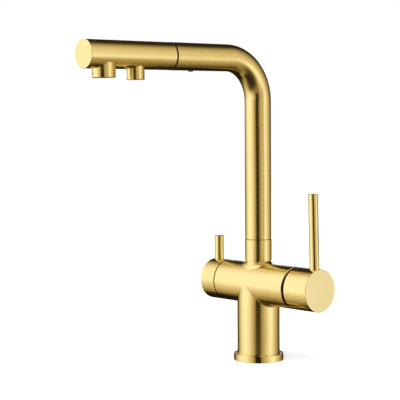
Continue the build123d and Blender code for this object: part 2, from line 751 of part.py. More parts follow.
with BuildPart() as filter_moving_disc:
    bar(cross_axis, filter_disc_end, filter_disc_face - disc_gap, filter_cavity_radius - 0.3)
    # Two ways, open at the rim, which stand over the fixed disc's holes after a quarter turn
    with BuildSketch(cross_axis.offset(filter_disc_end)) as ways:
        for side in (1, -1):
            with Locations((side * filter_way_at, 0)):
                Circle(filter_way_radius)
            with Locations((side * (filter_way_at + 2.5), 0)):
                Rectangle(5.0, 2 * filter_way_radius)
    extrude(ways.sketch, amount=filter_disc_face - filter_disc_end, mode=Mode.SUBTRACT)
    # Notch for the spindle's tongue
    block(cross_axis, filter_disc_end, filter_disc_end + 1.0, 2.1, 9.0, mode=Mode.SUBTRACT)
finish(filter_moving_disc, "filter_moving_disc")

with BuildPart() as filter_spindle:
    bar(cross_axis, spindle_end, filter_disc_end, spindle_radius)
    block(cross_axis, filter_disc_end, filter_disc_end + 0.95, 2.0, 6.6)
    ring_groove(cross_axis, spindle_groove_at, spindle_groove_at + 1.6, spindle_radius, spindle_radius - 0.9)
    ring_groove(cross_axis, circlip_at, circlip_at + 0.9, spindle_radius, spindle_radius - 0.6)
finish(filter_spindle, "filter_spindle")

with BuildPart() as filter_spindle_o_ring:
    o_ring_start = spindle_groove_at + 0.1
    tube(cross_axis, o_ring_start, o_ring_start + 1.4, spindle_radius + 0.02, spindle_radius - 0.85)
    fillet(rims(filter_spindle_o_ring, Axis.X), radius=0.35)
finish(filter_spindle_o_ring, "filter_spindle_o_ring")

with BuildPart() as filter_spindle_circlip:
    with BuildSketch(cross_axis.offset(circlip_at + 0.05)) as clip:
        Circle(5.6)
        Circle(spindle_radius - 0.55, mode=Mode.SUBTRACT)
        with Locations((0, 4.5)):
            Rectangle(4.5, 5.0, mode=Mode.SUBTRACT)
    extrude(clip.sketch, amount=0.8)
finish(filter_spindle_circlip, "filter_spindle_circlip")

with BuildPart() as filter_knob:
    bar(cross_axis, filter_knob_end, filter_knob_start, knob_radius)
    chamfer(rims(filter_knob, Axis.X)[0], length=0.4)
    bore(cross_axis, filter_hub_start, filter_knob_start, knob_radius - 2.0)
    ring_groove(cross_axis, filter_knob_floor, filter_hub_start, knob_radius - 2.6, filter_hub_radius)
    bore(cross_axis, filter_knob_floor, filter_hub_start, spindle_radius + 0.03)
    bore(upright(filter_lever_at), lever_stud_end - 0.5, knob_radius + 1.0, lever_stud_radius)
    bore(upright(filter_screw_at), -knob_radius, -spindle_radius, filter_screw_radius)
finish(filter_knob, "filter_knob")

with BuildPart() as filter_lever:
    lever(upright(filter_lever_at), filter_lever_length, filter_knob_end, filter_knob_start)
    chamfer(rims(filter_lever, Axis.Z)[-1], length=0.4)
finish(filter_lever, "filter_lever")

with BuildPart() as filter_set_screw:
    bar(upright(filter_screw_at), -9.0, -spindle_radius - 0.05, filter_screw_radius - 0.02)
    hex_socket(upright(filter_screw_at), -9.0, 1.8, 0.9)
finish(filter_set_screw, "filter_set_screw")
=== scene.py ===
"""Looks of a three way filtered water tap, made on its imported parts.

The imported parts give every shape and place. This file gives them their metal, plastic, rubber and ceramic,
sweeps the spout's tube and the double hose along their routes, and sets up the studio: camera, light tent,
lamp and floor. Lengths are in metres, +Z is up, and the spout points along -Y.

It is laid out as an add-on and run as a script.
"""

import math

import bpy
from mathutils import Matrix, Vector


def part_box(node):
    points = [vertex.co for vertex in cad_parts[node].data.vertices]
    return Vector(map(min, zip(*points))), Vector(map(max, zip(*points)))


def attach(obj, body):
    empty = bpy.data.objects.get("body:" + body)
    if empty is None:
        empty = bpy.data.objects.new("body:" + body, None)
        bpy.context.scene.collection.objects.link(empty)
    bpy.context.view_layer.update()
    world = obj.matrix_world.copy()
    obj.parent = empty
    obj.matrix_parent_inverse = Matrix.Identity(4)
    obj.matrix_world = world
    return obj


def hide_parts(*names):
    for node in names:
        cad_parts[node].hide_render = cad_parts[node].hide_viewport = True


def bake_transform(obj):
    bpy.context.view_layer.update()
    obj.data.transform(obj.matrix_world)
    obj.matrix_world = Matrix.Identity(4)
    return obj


bl_info = {
    "name": "Three way filtered water tap",
    "version": (1, 0, 0),
    "blender": (4, 5, 0),
    "location": "View3D > Sidebar > Tap",
    "description": "Finishes, spout tube, double hose and studio of a three way filtered water tap",
    "category": "Object",
}

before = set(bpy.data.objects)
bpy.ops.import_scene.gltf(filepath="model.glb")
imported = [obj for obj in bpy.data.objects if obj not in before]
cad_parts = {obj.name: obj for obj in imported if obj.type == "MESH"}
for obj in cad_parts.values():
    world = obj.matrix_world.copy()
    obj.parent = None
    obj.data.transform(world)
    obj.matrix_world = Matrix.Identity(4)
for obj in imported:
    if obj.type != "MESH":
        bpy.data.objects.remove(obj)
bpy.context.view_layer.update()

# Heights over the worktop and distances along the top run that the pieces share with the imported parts
CROSS_HEIGHT = 0.0825
SPOUT_HEIGHT = 0.3237
SPOUT_FALL = math.radians(1.0)
RUN_DIRECTION = Vector((0.0, -math.cos(SPOUT_FALL), -math.sin(SPOUT_FALL)))
RUN_UP = Vector((0.0, -math.sin(SPOUT_FALL), math.cos(SPOUT_FALL)))
DOCKING_SCREW = 0.0949
TUBE_END = 0.1216
REAR_OUTLET = 0.1658
FRONT_OUTLET = 0.2043

# Noise in the materials: how fine it is, and the part of its range that colours and roughness follow
TONE_DRIFT, COARSE_LINES, FINE_LINES = 45.0, 900.0, 5200.0
PLASTIC_CLOUDS, PLASTIC_SKIN = 120.0, 1400.0
TONE_LOW, TONE_HIGH = 0.30, 0.70
BRUSH_DEPTH = 0.0000015
# How strongly edges show: on plastic as wear, on metal as wear plus a painted highlight
METAL_WEAR_AND_HIGHLIGHT, PLASTIC_WEAR = 0.5, 0.35

SMOOTH_UP_TO = math.radians(40)
TENT_CENTRE = Vector((0.0, 0.0, 0.17))


def on_run(distance):
    """A point on the top run's axis, by its distance from the point above the column."""
    return Vector((0.0, 0.0, SPOUT_HEIGHT)) + RUN_DIRECTION * distance


# ---- properties


def length_property(name, description, default):
    return bpy.props.FloatProperty(
        name=name, description=description, default=default, min=0.0, precision=5, unit="LENGTH"
    )


def colour_property(name, description, default):
    return bpy.props.FloatVectorProperty(
        name=name, description=description, default=default, size=3, min=0.0, max=1.0, subtype="COLOR"
    )


def share_property(name, description, default):
    return bpy.props.FloatProperty(
        name=name, description=description, default=default, min=0.0, max=1.0, subtype="FACTOR"
    )


class TapSizes(bpy.types.PropertyGroup):
    """Sizes of the pieces that are made here."""

    tube_radius: length_property("Tube radius", "Outer radius of the spout's tube", 0.01408)
    tube_wall: length_property("Tube wall", "Thickness of the spout's tube", 0.0012)
    bend_radius: length_property("Bend radius", "Radius of the spout's bend, on its axis", 0.0445)
    hose_radius: length_property("Hose radius", "Outer radius of the braided hose", 0.0065)
    hose_bore: length_property("Hose bore", "Inner radius of the braided hose", 0.0048)
    inner_tube_radius: length_property("Inner tube radius", "Outer radius of the filtered water tube", 0.0025)
    inner_tube_bore: length_property("Inner tube bore", "Inner radius of the filtered water tube", 0.0016)
    hose_travel: length_property("Hose travel", "How far the spray head pulls the hose out", 0.35)
    braid_lay: length_property("Braid lay", "Length of one turn of a strand, with the hose pulled out", 0.036)
    strands: bpy.props.IntProperty(
        name="Strands", description="Number of strands in the braid, both ways together", default=16, min=4
    )
    cell_width: length_property("Cell width", "Width of a cell of the mixed outlet's honeycomb", 0.0017)


class TapFinishes(bpy.types.PropertyGroup):
    """Colours and gloss of the tap's materials."""

    gold: colour_property("Gold", "Colour of the brushed gold plating", (0.92, 0.77, 0.35))
    polished: colour_property("Polished gold", "Colour of the polished trim", (0.93, 0.78, 0.36))
    cap: colour_property("Cap", "Colour of the mixer knob's flat cap", (0.96, 0.87, 0.50))
    brass: colour_property("Brass", "Colour of unplated brass", (0.70, 0.53, 0.25))
    steel: colour_property("Steel", "Colour of the screws and the ferrule", (0.60, 0.60, 0.59))
    black_steel: colour_property("Black steel", "Colour of the docking screw", (0.045, 0.045, 0.045))
    braid: colour_property("Braid", "Colour of the hose's braid", (0.42, 0.42, 0.43))
    rubber: colour_property("Rubber", "Colour of the seals and the hose's liner", (0.030, 0.030, 0.032))
    black_plastic: colour_property("Black plastic", "Colour of the dock and slip ring", (0.012, 0.012, 0.013))
    white_plastic: colour_property("White plastic", "Colour of waterways and inner tube", (0.82, 0.82, 0.79))
    grey_plastic: colour_property("Grey plastic", "Colour of the outlets' inserts", (0.55, 0.55, 0.53))
    ceramic: colour_property("Ceramic", "Colour of the valve discs", (0.88, 0.87, 0.83))
    red: colour_property("Hot mark", "Colour of the hot water mark", (0.62, 0.02, 0.02))
    blue: colour_property("Cold mark", "Colour of the cold water mark", (0.02, 0.10, 0.55))
    satin: share_property("Satin", "Roughness of the brushed gold", 0.18)
    polish: share_property("Polish", "Roughness of the polished trim", 0.06)


class TapStudio(bpy.types.PropertyGroup):
    """Camera, light tent and floor."""

    view_angle: bpy.props.FloatProperty(
        name="View angle",
        description="How far the camera stands round from the spout's side towards the mixer",
        default=math.radians(48.92),
        subtype="ANGLE",
    )
    view_pitch: bpy.props.FloatProperty(
        name="View pitch", description="How far the camera looks down", default=0.0538, subtype="ANGLE"
    )
    view_roll: bpy.props.FloatProperty(
        name="View roll", description="How far the camera leans", default=0.0061, subtype="ANGLE"
    )
    view_distance: length_property("View distance", "Level distance from the camera to the column", 1.2531)
    view_height: length_property("View height", "Height of the camera over the worktop", 0.24035)
    view_offset: length_property("View offset", "How far left of the column the camera stands", 0.06255)
    lens: bpy.props.FloatProperty(
        name="Lens", description="Focal length on a 36 mm sensor", default=104.9, unit="CAMERA"
    )
    tent_radius: length_property("Tent radius", "Radius of the light tent", 3.0)
    floor_radius: length_property("Floor radius", "Radius of the floor", 4.0)


# ---- node helpers


def add(tree, kind, inputs=None, **settings):
    """Adds a node. An input that is given a socket is linked to it, and any other value is set."""
    node = tree.nodes.new(kind)
    for key, value in settings.items():
        setattr(node, key, value)
    for key, value in (inputs or {}).items():
        socket = node.inputs[key]
        if isinstance(value, bpy.types.NodeSocket):
            tree.links.new(value, socket)
        else:
            socket.default_value = value
    return node


def made(tree, kind, inputs=None, **settings):
    """What a new node gives at its first output."""
    return add(tree, kind, inputs, **settings).outputs[0]


def maths(tree, operation, *values):
    """The result of a maths node."""
    return made(tree, "ShaderNodeMath", dict(enumerate(values)), operation=operation)


def vectors(tree, operation, *values):
    """The vector that a vector maths node gives."""
    return made(tree, "ShaderNodeVectorMath", dict(enumerate(values)), operation=operation)


def measure(tree, operation, *values):
    """The number that a vector maths node gives, such as a length or a dot product."""
    return add(tree, "ShaderNodeVectorMath", dict(enumerate(values)), operation=operation).outputs["Value"]


def lengthened(tree, vector, factor):
    """A vector made longer or shorter."""
    return made(tree, "ShaderNodeVectorMath", {0: vector, "Scale": factor}, operation="SCALE")


def part_of(tree, vector, axis):
    """The X, Y or Z of a vector."""
    return add(tree, "ShaderNodeSeparateXYZ", {0: vector}).outputs[axis]


def own_place(tree):
    """A point's place in its own object."""
    return add(tree, "ShaderNodeTexCoord").outputs["Object"]


def spread(tree, value, low, high, to_low, to_high, smooth=False):
    """A value carried from one range to another, and held at its ends."""
    settings = {"interpolation_type": "SMOOTHSTEP"} if smooth else {}
    inputs = {"Value": value, "From Min": low, "From Max": high, "To Min": to_low, "To Max": to_high}
    return add(tree, "ShaderNodeMapRange", inputs, **settings).outputs["Result"]


def blend_numbers(tree, share, first, second):
    """A mix of two numbers."""
    return made(tree, "ShaderNodeMix", {0: share, 2: first, 3: second}, data_type="FLOAT")


def blend_colours(tree, share, first, second):
    """A mix of two colours."""
    node = add(tree, "ShaderNodeMix", {0: share}, data_type="RGBA")
    for key, value in ((6, first), (7, second)):
        if isinstance(value, bpy.types.NodeSocket):
            tree.links.new(value, node.inputs[key])
        else:
            node.inputs[key].default_value = (*value, 1.0)
    return node.outputs[2]


def ramp(tree, share, stops):
    """A colour ramp with these stops: place, then a grey level or a colour."""
    node = add(tree, "ShaderNodeValToRGB", {"Fac": share})
    elements = node.color_ramp.elements
    for place, _ in stops[2:]:
        elements.new(place)
    for element, (place, level) in zip(elements, stops):
        element.position = place
        element.color = (*level, 1.0) if isinstance(level, tuple) else (level, level, level, 1.0)
    return node.outputs["Color"]


def noise(tree, where, scale, detail=2.0, **settings):
    """Noise between 0 and 1, at a point or along a line."""
    key = "W" if settings.get("noise_dimensions") == "1D" else "Vector"
    inputs = {key: where, "Scale": scale, "Detail": detail, "Roughness": 0.6}
    return add(tree, "ShaderNodeTexNoise", inputs, **settings).outputs["Fac"]


def scaled(colour, factor):
    """A colour made lighter or darker."""
    return tuple(min(1.0, c * factor) for c in colour)


def empty_nodes(owner):
    """The emptied node tree of a material or a world."""
    owner.use_nodes = True
    owner.node_tree.nodes.clear()
    return owner.node_tree


def new_material(name):
    """A material with only its shader node."""
    material = bpy.data.materials.new(name)
    tree = empty_nodes(material)
    shader = add(tree, "ShaderNodeBsdfPrincipled")
    add(tree, "ShaderNodeOutputMaterial", {"Surface": shader.outputs[0]})
    return material, tree, shader


def background_rays(tree):
    """Which rays see the pale background: those from the camera, and those by way of gloss or glass."""
    path = add(tree, "ShaderNodeLightPath").outputs
    direct = path["Is Camera Ray"]
    seen = maths(tree, "MAXIMUM", direct, path["Is Glossy Ray"])
    return direct, maths(tree, "MAXIMUM", seen, path["Is Transmission Ray"])


def finish_with(material, *objects):
    """Gives objects one material."""
    for obj in objects:
        obj.data.materials.clear()
        obj.data.materials.append(material)


# ---- materials


def line_about(tree, origin, direction):
    """A distance along an axis plus the distance from it, on which brush lines lie as rings and circles."""
    from_origin = vectors(tree, "SUBTRACT", own_place(tree), origin)
    along = measure(tree, "DOT_PRODUCT", from_origin, direction)
    away = measure(tree, "DISTANCE", from_origin, lengthened(tree, direction, along))
    return maths(tree, "ADD", along, away)


def column_line(tree):
    """Brush lines about the column and the riser."""
    return line_about(tree, (0.0, 0.0, 0.0), (0.0, 0.0, 1.0))


def cross_line(tree):
    """Brush lines about the cross tube."""
    return line_about(tree, (0.0, 0.0, CROSS_HEIGHT), (1.0, 0.0, 0.0))


def run_line(tree):
    """Brush lines about the top run."""
    return line_about(tree, (0.0, 0.0, SPOUT_HEIGHT), tuple(RUN_DIRECTION))


def route_line(tree):
    """Brush lines across the spout's route, by the attribute that its tube carries."""
    return add(tree, "ShaderNodeAttribute", attribute_name="along").outputs["Fac"]


def outlet_line(distance):
    """Brush lines about an outlet under the top run."""

    def line(tree):
        return line_about(tree, tuple(on_run(distance)), tuple(RUN_UP))

    return line


def casting_line(tree):
    """Brush lines about the column, which go over to lines about the cross tube where it leaves."""
    change_from, change_to = 0.0215, 0.0240
    from_axis = measure(tree, "LENGTH", vectors(tree, "MULTIPLY", own_place(tree), (1.0, 1.0, 0.0)))
    out = spread(tree, from_axis, change_from, change_to, 0.0, 1.0, smooth=True)
    return blend_numbers(tree, out, column_line(tree), cross_line(tree))


def edge_share(tree, width):
    """How near a point is to a sharp edge, from 0 to 1."""
    flat, sharp = 0.995, 0.80
    rounded = add(tree, "ShaderNodeBevel", {"Radius": width}, samples=4).outputs["Normal"]
    plain = add(tree, "ShaderNodeNewGeometry").outputs["Normal"]
    return spread(tree, measure(tree, "DOT_PRODUCT", rounded, plain), flat, sharp, 0.0, 1.0)


def blended_noise(tree, first, second, share):
    """Two noises in one, with this share of the first."""
    return maths(tree, "MULTIPLY_ADD", first, share, maths(tree, "MULTIPLY", second, 1.0 - share))


def grained_metal(name, colour, roughness, line, depth=1.0, bands=()):
    """Metal with fine brush lines, slow changes of tone, and edges that are worn smoother and painted a
    little brighter as a painted highlight.

    Depth is how deep the lines are, where those on the body are 1. Each band, given by its middle and half
    its width along the cross tube, is painted in a colour of its own: the dark bands in the grooves are
    painted shade.
    """
    material, tree, shader = new_material(name)
    place = own_place(tree)
    drift = noise(tree, place, TONE_DRIFT, 3.0)
    wander = maths(tree, "MULTIPLY_ADD", drift, 0.0006, line(tree))
    fine = noise(tree, wander, FINE_LINES, 1.0, noise_dimensions="1D")
    coarse = noise(tree, wander, COARSE_LINES, 2.0, noise_dimensions="1D")
    lines = blended_noise(tree, fine, coarse, 0.6)
    tone = blended_noise(tree, drift, lines, 0.5)
    tint = ramp(tree, tone, ((TONE_LOW, scaled(colour, 0.94)), (TONE_HIGH, scaled(colour, 1.04))))
    # The edges are partly worn and partly a painted highlight: they are made smoother and painted a little
    # brighter
    brightened_edge = maths(tree, "MULTIPLY", edge_share(tree, 0.0004), METAL_WEAR_AND_HIGHLIGHT)
    tint = blend_colours(tree, brightened_edge, tint, scaled(colour, 1.12))
    # Each band's colour is painted over the metal; a dark band in a groove is painted shade
    for middle, half, band_colour in bands:
        in_band = maths(tree, "COMPARE", part_of(tree, place, "X"), middle, half)
        tint = blend_colours(tree, in_band, tint, band_colour)
    tree.links.new(tint, shader.inputs["Base Color"])
    rough = spread(tree, tone, TONE_LOW, TONE_HIGH, roughness * 1.14, roughness * 0.88)
    smoothed = maths(tree, "SUBTRACT", rough, maths(tree, "MULTIPLY", brightened_edge, roughness * 0.25))
    tree.links.new(smoothed, shader.inputs["Roughness"])
    bump = add(tree, "ShaderNodeBump", {"Strength": 1.0, "Distance": BRUSH_DEPTH * depth, "Height": lines})
    tree.links.new(bump.outputs["Normal"], shader.inputs["Normal"])
    shader.inputs["Metallic"].default_value = 1.0
    return material


def moulded(name, colour, roughness, speckle, pits=0.000004, gloss=0.5):
    """Moulded plastic, rubber or ceramic: faint clouds in the colour and a fine pitted skin."""
    material, tree, shader = new_material(name)
    place = own_place(tree)
    skin = noise(tree, place, PLASTIC_SKIN, 2.0)
    tone = blended_noise(tree, noise(tree, place, PLASTIC_CLOUDS, 3.0), skin, 0.6)
    shades = (TONE_LOW, scaled(colour, 1.0 - speckle)), (TONE_HIGH, scaled(colour, 1.0 + speckle))
    brightened_edge = maths(tree, "MULTIPLY", edge_share(tree, 0.0003), PLASTIC_WEAR)
    pale = tuple(c + (1.0 - c) * 0.12 for c in colour)
    tree.links.new(blend_colours(tree, brightened_edge, ramp(tree, tone, shades), pale), shader.inputs["Base Color"])
    rough = spread(tree, tone, TONE_LOW, TONE_HIGH, roughness * 0.85, roughness * 1.15)
    tree.links.new(rough, shader.inputs["Roughness"])
    bump = add(tree, "ShaderNodeBump", {"Strength": 0.8, "Distance": pits, "Height": skin})
    tree.links.new(bump.outputs["Normal"], shader.inputs["Normal"])
    shader.inputs["Specular IOR Level"].default_value = gloss
    return material


# ---- shapes along a route


def new_tree(name, sizes, counts):
    """An empty tree of geometry nodes with inputs for its sizes, its counts and its material."""
    tree = bpy.data.node_groups.new(name, "GeometryNodeTree")
    kinds = dict.fromkeys(sizes, "Float") | dict.fromkeys(counts, "Int")
    for label, kind in {"Geometry": "Geometry", **kinds, "Material": "Material"}.items():
        tree.interface.new_socket(label, in_out="INPUT", socket_type=f"NodeSocket{kind}")
    tree.interface.new_socket("Geometry", in_out="OUTPUT", socket_type="NodeSocketGeometry")
    return tree, add(tree, "NodeGroupInput").outputs


def end_tree(tree, geometry, material):
    """Realizes what a tree has made and sets its material."""
    real = made(tree, "GeometryNodeRealizeInstances", {"Geometry": geometry})
    done = made(tree, "GeometryNodeSetMaterial", {"Geometry": real, "Material": material})
    add(tree, "NodeGroupOutput", {"Geometry": done})
    return tree


def route_curve(points):
    """A curve of straight stretches through these points."""
    data = bpy.data.curves.new("route", "CURVE")
    data.dimensions = "3D"
    spline = data.splines.new("POLY")
    spline.points.add(len(points) - 1)
    for point, place in zip(spline.points, points):
        point.co = (*place, 1.0)
    return data


def spots_mesh(places):
    """A mesh of loose points."""
    data = bpy.data.meshes.new("spots")
    data.from_pydata(places, [], [])
    return data


def plain_mesh(obj):
    """An object's mesh with its modifiers in it, smooth but for its sharp edges."""
    depsgraph = bpy.context.evaluated_depsgraph_get()
    mesh = bpy.data.meshes.new_from_object(obj.evaluated_get(depsgraph), depsgraph=depsgraph)
    mesh.shade_smooth()
    mesh.set_sharp_from_angle(angle=SMOOTH_UP_TO)
    return mesh


def grow(name, data, tree, values):
    """Runs a tree on a curve or on loose points, and keeps the result as a plain mesh."""
    host = bpy.data.objects.new(f"{name}_host", data)
    bpy.context.scene.collection.objects.link(host)
    modifier = host.modifiers.new("shape", "NODES")
    modifier.node_group = tree
    for item in tree.interface.items_tree:
        if item.in_out == "INPUT" and item.name in values:
            modifier[item.identifier] = values[item.name]
    mesh = plain_mesh(host)
    bpy.data.objects.remove(host)
    if not mesh.polygons:
        raise RuntimeError(f"{name} came out empty")
    piece = bpy.data.objects.new(name, mesh)
    bpy.context.scene.collection.objects.link(piece)
    finish_with(values["Material"], piece)
    return piece


def rounded_route(tree, given):
    """The route with its corners rounded to the bend radius."""
    inputs = {"Curve": given["Geometry"], "Radius": given["Bend radius"], "Count": given["Bend points"]}
    return made(tree, "GeometryNodeFilletCurve", {**inputs, "Limit Radius": True}, mode="POLY")


def tube_tree():
    """A round tube, open at its ends, along a route. Its "along" attribute is the distance travelled."""
    tree, given = new_tree("tube along a route", ("Radius", "Bend radius"), ("Bend points", "Sides"))
    travelled = add(tree, "GeometryNodeSplineParameter").outputs["Length"]
    inputs = {"Geometry": rounded_route(tree, given), "Name": "along", "Value": travelled}
    marked = made(tree, "GeometryNodeStoreNamedAttribute", inputs, data_type="FLOAT", domain="POINT")
    inputs = {"Resolution": given["Sides"], "Radius": given["Radius"]}
    ring = made(tree, "GeometryNodeCurvePrimitiveCircle", inputs)
    swept = made(tree, "GeometryNodeCurveToMesh", {"Curve": marked, "Profile Curve": ring})
    return end_tree(tree, swept, given["Material"])


def thicken(piece, wall):
    """Gives an open tube its wall, inwards, and closes it at its ends."""
    modifier = piece.modifiers.new("wall", "SOLIDIFY")
    modifier.thickness = wall
    modifier.offset = -1.0
    mesh = plain_mesh(piece)
    piece.modifiers.clear()
    piece.data = mesh
    return piece


def braid_tree():
    """Strands that wind both ways round a route, over and under each other.

    Each strand's turns follow the length that the hose has when it is pulled out, so that the braid is
    even then. "Stretch" is how far it is pulled, between the distances "Stretch start" and "Stretch end".
    """
    stretch_inputs = ("Stretch", "Stretch start", "Stretch end")
    tree, given = new_tree(
        "braid along a route",
        ("Radius", "Weave depth", "Strand width", "Lay", "Bend radius", *stretch_inputs),
        ("Strands", "Points", "Bend points"),
    )
    route = rounded_route(tree, given)
    top = made(tree, "ShaderNodeCombineXYZ", {"Z": made(tree, "GeometryNodeCurveLength", {"Curve": route})})
    line = made(tree, "GeometryNodeCurvePrimitiveLine", {"Start": (0, 0, 0), "End": top})
    line = made(tree, "GeometryNodeResampleCurve", {"Curve": line, "Count": given["Points"]})
    inputs = {"Geometry": line, "Amount": given["Strands"]}
    copies = add(tree, "GeometryNodeDuplicateElements", inputs, domain="SPLINE")
    number = copies.outputs["Duplicate Index"]
    way = maths(tree, "MULTIPLY_ADD", maths(tree, "MODULO", number, 2.0), -2.0, 1.0)
    distance = part_of(tree, made(tree, "GeometryNodeInputPosition"), "Z")
    stretch, start, end = (given[label] for label in stretch_inputs)
    stretched = maths(tree, "ADD", distance, spread(tree, distance, start, end, 0.0, stretch, smooth=True))
    turn = maths(tree, "MULTIPLY", maths(tree, "DIVIDE", stretched, given["Lay"]), math.tau)
    one_way = maths(tree, "MULTIPLY", given["Strands"], 0.5)
    share = maths(tree, "DIVIDE", maths(tree, "FLOOR", maths(tree, "MULTIPLY", number, 0.5)), one_way)
    angle = maths(tree, "MULTIPLY_ADD", turn, way, maths(tree, "MULTIPLY", share, math.tau))
    wave = maths(tree, "COSINE", maths(tree, "MULTIPLY", turn, one_way))
    lift = maths(tree, "MULTIPLY", maths(tree, "MULTIPLY", wave, way), given["Weave depth"])
    radius = maths(tree, "ADD", given["Radius"], lift)
    inputs = {"Curves": route, "Length": distance}
    at = add(tree, "GeometryNodeSampleCurve", inputs, mode="LENGTH", use_all_curves=True).outputs
    side = vectors(tree, "CROSS_PRODUCT", at["Tangent"], at["Normal"])
    cosine, sine = maths(tree, "COSINE", angle), maths(tree, "SINE", angle)
    outward = vectors(tree, "ADD", lengthened(tree, at["Normal"], cosine), lengthened(tree, side, sine))
    reach = lengthened(tree, outward, radius)
    kept = add(tree, "GeometryNodeCaptureAttribute", {"Geometry": copies.outputs["Geometry"]}, domain="POINT")
    kept.capture_items.new("VECTOR", "outward")
    kept.capture_items.new("VECTOR", "target")
    tree.links.new(outward, kept.inputs[1])
    tree.links.new(vectors(tree, "ADD", at["Position"], reach), kept.inputs[2])
    moved = made(tree, "GeometryNodeSetPosition", {"Geometry": kept.outputs[0], "Position": kept.outputs[2]})
    held = made(tree, "GeometryNodeSetCurveNormal", {"Curve": moved, "Normal": kept.outputs[1]}, mode="FREE")
    section = made(tree, "GeometryNodeCurvePrimitiveCircle", {"Resolution": 4, "Radius": 1.0})
    half = maths(tree, "MULTIPLY", given["Strand width"], 0.5)
    size = made(tree, "ShaderNodeCombineXYZ", {"X": given["Weave depth"], "Y": half, "Z": 1.0})
    section = made(tree, "GeometryNodeTransform", {"Geometry": section, "Scale": size})
    inputs = {"Curve": held, "Profile Curve": section, "Fill Caps": True}
    woven = made(tree, "GeometryNodeCurveToMesh", inputs)
    return end_tree(tree, woven, given["Material"])


def thread_tree():
    """Thread ridges inside round holes, one helix at each loose point."""
    tree, given = new_tree("thread in a hole", ("Radius", "Length", "Pitch"), ("Sides",))
    inputs = {
        "Resolution": given["Sides"],
        "Rotations": maths(tree, "DIVIDE", given["Length"], given["Pitch"]),
        "Start Radius": given["Radius"],
        "End Radius": given["Radius"],
        "Height": given["Length"],
    }
    helix = made(tree, "GeometryNodeCurveSpiral", inputs)
    ridge = maths(tree, "MULTIPLY", given["Pitch"], 0.36)
    section = made(tree, "GeometryNodeCurvePrimitiveCircle", {"Resolution": 4, "Radius": ridge})
    inputs = {"Curve": helix, "Profile Curve": section, "Fill Caps": True}
    thread = made(tree, "GeometryNodeCurveToMesh", inputs)
    placed = made(tree, "GeometryNodeInstanceOnPoints", {"Points": given["Geometry"], "Instance": thread})
    return end_tree(tree, placed, given["Material"])


def honeycomb_tree():
    """Six-sided cells side by side, inside a circle."""
    tree, given = new_tree(
        "honeycomb in a circle", ("Cell width", "Wall", "Depth", "Circle radius"), ("Cells across",)
    )
    row_step = math.sqrt(0.75)
    count = maths(tree, "ADD", given["Cells across"], 2.0)
    width = maths(tree, "MULTIPLY", given["Cell width"], maths(tree, "SUBTRACT", count, 1.0))
    height = maths(tree, "MULTIPLY", width, row_step)
    inputs = {"Size X": width, "Size Y": height, "Vertices X": count, "Vertices Y": count}
    grid = made(tree, "GeometryNodeMeshGrid", inputs)
    place = made(tree, "GeometryNodeInputPosition")
    step = maths(tree, "MULTIPLY", given["Cell width"], row_step)
    rows_up = maths(tree, "DIVIDE", part_of(tree, place, "Y"), step)
    # The 100 keeps the row numbers above zero, and leaves odd rows odd
    row_number = maths(tree, "ROUND", maths(tree, "ADD", rows_up, 100.0))
    odd = maths(tree, "MODULO", row_number, 2.0)
    shift = maths(tree, "MULTIPLY", maths(tree, "MULTIPLY", odd, 0.5), given["Cell width"])
    offset = made(tree, "ShaderNodeCombineXYZ", {"X": shift})
    moved = made(tree, "GeometryNodeSetPosition", {"Geometry": grid, "Offset": offset})
    outside = maths(tree, "GREATER_THAN", measure(tree, "LENGTH", place), given["Circle radius"])
    kept = made(tree, "GeometryNodeDeleteGeometry", {"Geometry": moved, "Selection": outside}, domain="POINT")
    cell_radius = maths(tree, "DIVIDE", given["Cell width"], math.sqrt(3.0))
    cell = made(tree, "GeometryNodeCurvePrimitiveCircle", {"Resolution": 6, "Radius": cell_radius})
    turned = made(tree, "GeometryNodeTransform", {"Geometry": cell, "Rotation": (0, 0, math.radians(30))})
    inputs = {"Width": given["Wall"], "Height": given["Depth"]}
    section = made(tree, "GeometryNodeCurvePrimitiveQuadrilateral", inputs)
    wall = made(tree, "GeometryNodeCurveToMesh", {"Curve": turned, "Profile Curve": section})
    placed = made(tree, "GeometryNodeInstanceOnPoints", {"Points": kept, "Instance": wall})
    return end_tree(tree, placed, given["Material"])


# ---- operators


def finish_parts(material, *names):
    """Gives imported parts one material."""
    finish_with(material, *(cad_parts[name] for name in names))


class TAP_OT_brushed_parts(bpy.types.Operator):
    """Gives the body, the collar, the spray head, its outlets and the knobs their brushed gold"""

    bl_idname = "tap.brushed_parts"
    bl_label = "Brushed parts"

    def execute(self, context):
        look = context.scene.tap_finishes
        # The grooves behind the two knobs get dark bands of painted shade, and the mixer knob's cap is pale
        painted_groove_shade = scaled(look.gold, 0.08)
        bands = ((-0.04735, 0.0008, painted_groove_shade), (0.0570, 0.0005, painted_groove_shade), (0.0912, 0.0004, look.cap))
        for name, line, nodes in (
            ("brushed gold casting", casting_line, ("body_casting",)),
            ("brushed gold collar", column_line, ("spout_collar",)),
            ("brushed gold head", run_line, ("head_shell",)),
            ("brushed gold front outlet", outlet_line(FRONT_OUTLET), ("mixed_outlet_barrel",)),
            ("brushed gold rear outlet", outlet_line(REAR_OUTLET), ("filtered_outlet_barrel",)),
            ("brushed gold knobs", cross_line, ("mixer_knob", "filter_knob")),
        ):
            finish_parts(grained_metal(name, look.gold, look.satin, line, bands=bands), *nodes)
        return {"FINISHED"}


class TAP_OT_polished_trim(bpy.types.Operator):
    """Gives the base flange, the levers and the front outlet's ring their polished gold"""

    bl_idname = "tap.polished_trim"
    bl_label = "Polished trim"

    def execute(self, context):
        look = context.scene.tap_finishes
        trim = grained_metal("polished gold", look.polished, look.polish, column_line, depth=0.1)
        finish_parts(trim, "base_flange", "mixer_lever", "filter_lever")
        around = outlet_line(FRONT_OUTLET)
        ring = grained_metal("polished gold ring", look.polished, look.polish * 1.3, around)
        finish_parts(ring, "mixed_aerator_ring")
        return {"FINISHED"}


